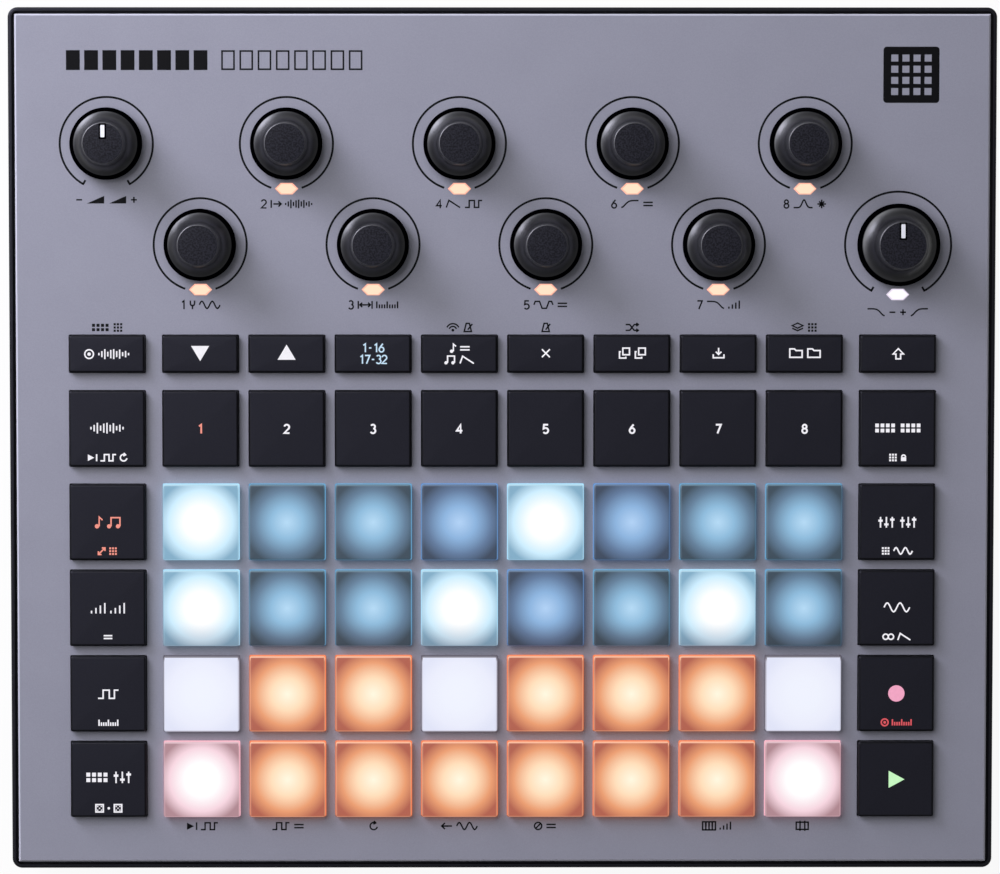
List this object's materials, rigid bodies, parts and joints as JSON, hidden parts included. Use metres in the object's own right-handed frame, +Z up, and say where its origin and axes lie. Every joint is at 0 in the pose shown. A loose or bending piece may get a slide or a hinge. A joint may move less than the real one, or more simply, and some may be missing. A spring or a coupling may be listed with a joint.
{
  "type": "drum machine",
  "caption": "Desktop drum machine: flat box with a grid of lit square pads, rows of black buttons, endless and stopped rotary knobs, and audio, MIDI and data sockets at the rear.",
  "frame": {"origin": "on the desk under the middle of the body", "axes": "+X to the player's right along the longest side, +Y to the rear with the sockets, +Z up"},
  "size_m": [0.24, 0.21, 0.045],
  "materials": {
    "case_plastic": "fine moulded texture, satin",
    "panel_paint": "satin metallic grey paint with a fine grain",
    "circuit_board": "solder mask",
    "bushing_steel": "turned",
    "socket_plastic": "moulded",
    "port_shell": "stamped",
    "battery_wrap": "pouch film",
    "foot_rubber": "matt",
    "screw_steel": "black zinc",
    "lamp_lens": "clear window, lit from below",
    "button_black": "matt coated silicone",
    "pad_silicone": "frosted translucent silicone, lit from below",
    "knob_rubber": "soft touch"
  },
  "bodies": {
    "housing": {"bottom_case": "case_plastic", "upper_case": "case_plastic", "top_panel": "panel_paint", "control_board": "circuit_board", "main_board": "circuit_board", "rotary_controls": "bushing_steel", "jack_sockets": "socket_plastic", "midi_sockets": "socket_plastic", "data_ports": "port_shell", "battery_pack": "battery_wrap", "rubber_feet": "foot_rubber", "case_screws": "screw_steel", "light_pipes": "lamp_lens"},
    "volume_knob": {"volume_knob": "knob_rubber"},
    "filter_knob": {"filter_knob": "knob_rubber"},
    "macro_knob_1": {"macro_knob_1": "knob_rubber"},
    "macro_knob_2": {"macro_knob_2": "knob_rubber"},
    "macro_knob_3": {"macro_knob_3": "knob_rubber"},
    "macro_knob_4": {"macro_knob_4": "knob_rubber"},
    "macro_knob_5": {"macro_knob_5": "knob_rubber"},
    "macro_knob_6": {"macro_knob_6": "knob_rubber"},
    "macro_knob_7": {"macro_knob_7": "knob_rubber"},
    "macro_knob_8": {"macro_knob_8": "knob_rubber"},
    "power_button": {"power_button": "button_black"},
    "left_buttons": {"left_buttons": "button_black"},
    "right_buttons": {"right_buttons": "button_black"},
    "menu_buttons": {"menu_buttons": "button_black"},
    "track_buttons": {"track_buttons": "button_black"},
    "pad_1_1": {"pad_1_1": "pad_silicone"},
    "pad_1_2": {"pad_1_2": "pad_silicone"},
    "pad_1_3": {"pad_1_3": "pad_silicone"},
    "pad_1_4": {"pad_1_4": "pad_silicone"},
    "pad_1_5": {"pad_1_5": "pad_silicone"},
    "pad_1_6": {"pad_1_6": "pad_silicone"},
    "pad_1_7": {"pad_1_7": "pad_silicone"},
    "pad_1_8": {"pad_1_8": "pad_silicone"},
    "pad_2_1": {"pad_2_1": "pad_silicone"},
    "pad_2_2": {"pad_2_2": "pad_silicone"},
    "pad_2_3": {"pad_2_3": "pad_silicone"},
    "pad_2_4": {"pad_2_4": "pad_silicone"},
    "pad_2_5": {"pad_2_5": "pad_silicone"},
    "pad_2_6": {"pad_2_6": "pad_silicone"},
    "pad_2_7": {"pad_2_7": "pad_silicone"},
    "pad_2_8": {"pad_2_8": "pad_silicone"},
    "pad_3_1": {"pad_3_1": "pad_silicone"},
    "pad_3_2": {"pad_3_2": "pad_silicone"},
    "pad_3_3": {"pad_3_3": "pad_silicone"},
    "pad_3_4": {"pad_3_4": "pad_silicone"},
    "pad_3_5": {"pad_3_5": "pad_silicone"},
    "pad_3_6": {"pad_3_6": "pad_silicone"},
    "pad_3_7": {"pad_3_7": "pad_silicone"},
    "pad_3_8": {"pad_3_8": "pad_silicone"},
    "pad_4_1": {"pad_4_1": "pad_silicone"},
    "pad_4_2": {"pad_4_2": "pad_silicone"},
    "pad_4_3": {"pad_4_3": "pad_silicone"},
    "pad_4_4": {"pad_4_4": "pad_silicone"},
    "pad_4_5": {"pad_4_5": "pad_silicone"},
    "pad_4_6": {"pad_4_6": "pad_silicone"},
    "pad_4_7": {"pad_4_7": "pad_silicone"},
    "pad_4_8": {"pad_4_8": "pad_silicone"}
  },
  "joints": [
    {"name": "volume_knob_turn", "type": "hinge", "parent": "housing", "child": "volume_knob", "pos_m": [-0.0962, 0.072, 0.031], "axis": [0, 0, 1], "range_deg": [-150, 150]},
    {"name": "filter_knob_turn", "type": "hinge", "parent": "housing", "child": "filter_knob", "pos_m": [0.0962, 0.0475, 0.031], "axis": [0, 0, 1], "range_deg": [-150, 150]},
    {"name": "macro_knob_1_turn", "type": "hinge", "parent": "housing", "child": "macro_knob_1", "pos_m": [-0.0735, 0.0475, 0.031], "axis": [0, 0, 1], "continuous": true},
    {"name": "macro_knob_2_turn", "type": "hinge", "parent": "housing", "child": "macro_knob_2", "pos_m": [-0.0525, 0.072, 0.031], "axis": [0, 0, 1], "continuous": true},
    {"name": "macro_knob_3_turn", "type": "hinge", "parent": "housing", "child": "macro_knob_3", "pos_m": [-0.0315, 0.0475, 0.031], "axis": [0, 0, 1], "continuous": true},
    {"name": "macro_knob_4_turn", "type": "hinge", "parent": "housing", "child": "macro_knob_4", "pos_m": [-0.0105, 0.072, 0.031], "axis": [0, 0, 1], "continuous": true},
    {"name": "macro_knob_5_turn", "type": "hinge", "parent": "housing", "child": "macro_knob_5", "pos_m": [0.0105, 0.0475, 0.031], "axis": [0, 0, 1], "continuous": true},
    {"name": "macro_knob_6_turn", "type": "hinge", "parent": "housing", "child": "macro_knob_6", "pos_m": [0.0315, 0.072, 0.031], "axis": [0, 0, 1], "continuous": true},
    {"name": "macro_knob_7_turn", "type": "hinge", "parent": "housing", "child": "macro_knob_7", "pos_m": [0.0525, 0.0475, 0.031], "axis": [0, 0, 1], "continuous": true},
    {"name": "macro_knob_8_turn", "type": "hinge", "parent": "housing", "child": "macro_knob_8", "pos_m": [0.0735, 0.072, 0.031], "axis": [0, 0, 1], "continuous": true},
    {"name": "power_button_press", "type": "slide", "parent": "housing", "child": "power_button", "axis": [0, -1, 0], "range_m": [0, 0.001], "stiffness_N_per_m": 300, "springref_m": -0.0005},
    {"name": "left_buttons_press", "type": "slide", "parent": "housing", "child": "left_buttons", "axis": [0, 0, -1], "range_m": [0, 0.0012], "stiffness_N_per_m": 1500, "springref_m": -0.0005},
    {"name": "right_buttons_press", "type": "slide", "parent": "housing", "child": "right_buttons", "axis": [0, 0, -1], "range_m": [0, 0.0012], "stiffness_N_per_m": 1500, "springref_m": -0.0005},
    {"name": "menu_buttons_press", "type": "slide", "parent": "housing", "child": "menu_buttons", "axis": [0, 0, -1], "range_m": [0, 0.0012], "stiffness_N_per_m": 1500, "springref_m": -0.0005},
    {"name": "track_buttons_press", "type": "slide", "parent": "housing", "child": "track_buttons", "axis": [0, 0, -1], "range_m": [0, 0.0012], "stiffness_N_per_m": 1500, "springref_m": -0.0005},
    {"name": "pad_1_1_press", "type": "slide", "parent": "housing", "child": "pad_1_1", "axis": [0, 0, -1], "range_m": [0, 0.0008], "stiffness_N_per_m": 300, "springref_m": -0.0005},
    {"name": "pad_1_2_press", "type": "slide", "parent": "housing", "child": "pad_1_2", "axis": [0, 0, -1], "range_m": [0, 0.0008], "stiffness_N_per_m": 300, "springref_m": -0.0005},
    {"name": "pad_1_3_press", "type": "slide", "parent": "housing", "child": "pad_1_3", "axis": [0, 0, -1], "range_m": [0, 0.0008], "stiffness_N_per_m": 300, "springref_m": -0.0005},
    {"name": "pad_1_4_press", "type": "slide", "parent": "housing", "child": "pad_1_4", "axis": [0, 0, -1], "range_m": [0, 0.0008], "stiffness_N_per_m": 300, "springref_m": -0.0005},
    {"name": "pad_1_5_press", "type": "slide", "parent": "housing", "child": "pad_1_5", "axis": [0, 0, -1], "range_m": [0, 0.0008], "stiffness_N_per_m": 300, "springref_m": -0.0005},
    {"name": "pad_1_6_press", "type": "slide", "parent": "housing", "child": "pad_1_6", "axis": [0, 0, -1], "range_m": [0, 0.0008], "stiffness_N_per_m": 300, "springref_m": -0.0005},
    {"name": "pad_1_7_press", "type": "slide", "parent": "housing", "child": "pad_1_7", "axis": [0, 0, -1], "range_m": [0, 0.0008], "stiffness_N_per_m": 300, "springref_m": -0.0005},
    {"name": "pad_1_8_press", "type": "slide", "parent": "housing", "child": "pad_1_8", "axis": [0, 0, -1], "range_m": [0, 0.0008], "stiffness_N_per_m": 300, "springref_m": -0.0005},
    {"name": "pad_2_1_press", "type": "slide", "parent": "housing", "child": "pad_2_1", "axis": [0, 0, -1], "range_m": [0, 0.0008], "stiffness_N_per_m": 300, "springref_m": -0.0005},
    {"name": "pad_2_2_press", "type": "slide", "parent": "housing", "child": "pad_2_2", "axis": [0, 0, -1], "range_m": [0, 0.0008], "stiffness_N_per_m": 300, "springref_m": -0.0005},
    {"name": "pad_2_3_press", "type": "slide", "parent": "housing", "child": "pad_2_3", "axis": [0, 0, -1], "range_m": [0, 0.0008], "stiffness_N_per_m": 300, "springref_m": -0.0005},
    {"name": "pad_2_4_press", "type": "slide", "parent": "housing", "child": "pad_2_4", "axis": [0, 0, -1], "range_m": [0, 0.0008], "stiffness_N_per_m": 300, "springref_m": -0.0005},
    {"name": "pad_2_5_press", "type": "slide", "parent": "housing", "child": "pad_2_5", "axis": [0, 0, -1], "range_m": [0, 0.0008], "stiffness_N_per_m": 300, "springref_m": -0.0005},
    {"name": "pad_2_6_press", "type": "slide", "parent": "housing", "child": "pad_2_6", "axis": [0, 0, -1], "range_m": [0, 0.0008], "stiffness_N_per_m": 300, "springref_m": -0.0005},
    {"name": "pad_2_7_press", "type": "slide", "parent": "housing", "child": "pad_2_7", "axis": [0, 0, -1], "range_m": [0, 0.0008], "stiffness_N_per_m": 300, "springref_m": -0.0005},
    {"name": "pad_2_8_press", "type": "slide", "parent": "housing", "child": "pad_2_8", "axis": [0, 0, -1], "range_m": [0, 0.0008], "stiffness_N_per_m": 300, "springref_m": -0.0005},
    {"name": "pad_3_1_press", "type": "slide", "parent": "housing", "child": "pad_3_1", "axis": [0, 0, -1], "range_m": [0, 0.0008], "stiffness_N_per_m": 300, "springref_m": -0.0005},
    {"name": "pad_3_2_press", "type": "slide", "parent": "housing", "child": "pad_3_2", "axis": [0, 0, -1], "range_m": [0, 0.0008], "stiffness_N_per_m": 300, "springref_m": -0.0005},
    {"name": "pad_3_3_press", "type": "slide", "parent": "housing", "child": "pad_3_3", "axis": [0, 0, -1], "range_m": [0, 0.0008], "stiffness_N_per_m": 300, "springref_m": -0.0005},
    {"name": "pad_3_4_press", "type": "slide", "parent": "housing", "child": "pad_3_4", "axis": [0, 0, -1], "range_m": [0, 0.0008], "stiffness_N_per_m": 300, "springref_m": -0.0005},
    {"name": "pad_3_5_press", "type": "slide", "parent": "housing", "child": "pad_3_5", "axis": [0, 0, -1], "range_m": [0, 0.0008], "stiffness_N_per_m": 300, "springref_m": -0.0005},
    {"name": "pad_3_6_press", "type": "slide", "parent": "housing", "child": "pad_3_6", "axis": [0, 0, -1], "range_m": [0, 0.0008], "stiffness_N_per_m": 300, "springref_m": -0.0005},
    {"name": "pad_3_7_press", "type": "slide", "parent": "housing", "child": "pad_3_7", "axis": [0, 0, -1], "range_m": [0, 0.0008], "stiffness_N_per_m": 300, "springref_m": -0.0005},
    {"name": "pad_3_8_press", "type": "slide", "parent": "housing", "child": "pad_3_8", "axis": [0, 0, -1], "range_m": [0, 0.0008], "stiffness_N_per_m": 300, "springref_m": -0.0005},
    {"name": "pad_4_1_press", "type": "slide", "parent": "housing", "child": "pad_4_1", "axis": [0, 0, -1], "range_m": [0, 0.0008], "stiffness_N_per_m": 300, "springref_m": -0.0005},
    {"name": "pad_4_2_press", "type": "slide", "parent": "housing", "child": "pad_4_2", "axis": [0, 0, -1], "range_m": [0, 0.0008], "stiffness_N_per_m": 300, "springref_m": -0.0005},
    {"name": "pad_4_3_press", "type": "slide", "parent": "housing", "child": "pad_4_3", "axis": [0, 0, -1], "range_m": [0, 0.0008], "stiffness_N_per_m": 300, "springref_m": -0.0005},
    {"name": "pad_4_4_press", "type": "slide", "parent": "housing", "child": "pad_4_4", "axis": [0, 0, -1], "range_m": [0, 0.0008], "stiffness_N_per_m": 300, "springref_m": -0.0005},
    {"name": "pad_4_5_press", "type": "slide", "parent": "housing", "child": "pad_4_5", "axis": [0, 0, -1], "range_m": [0, 0.0008], "stiffness_N_per_m": 300, "springref_m": -0.0005},
    {"name": "pad_4_6_press", "type": "slide", "parent": "housing", "child": "pad_4_6", "axis": [0, 0, -1], "range_m": [0, 0.0008], "stiffness_N_per_m": 300, "springref_m": -0.0005},
    {"name": "pad_4_7_press", "type": "slide", "parent": "housing", "child": "pad_4_7", "axis": [0, 0, -1], "range_m": [0, 0.0008], "stiffness_N_per_m": 300, "springref_m": -0.0005},
    {"name": "pad_4_8_press", "type": "slide", "parent": "housing", "child": "pad_4_8", "axis": [0, 0, -1], "range_m": [0, 0.0008], "stiffness_N_per_m": 300, "springref_m": -0.0005}
  ]
}
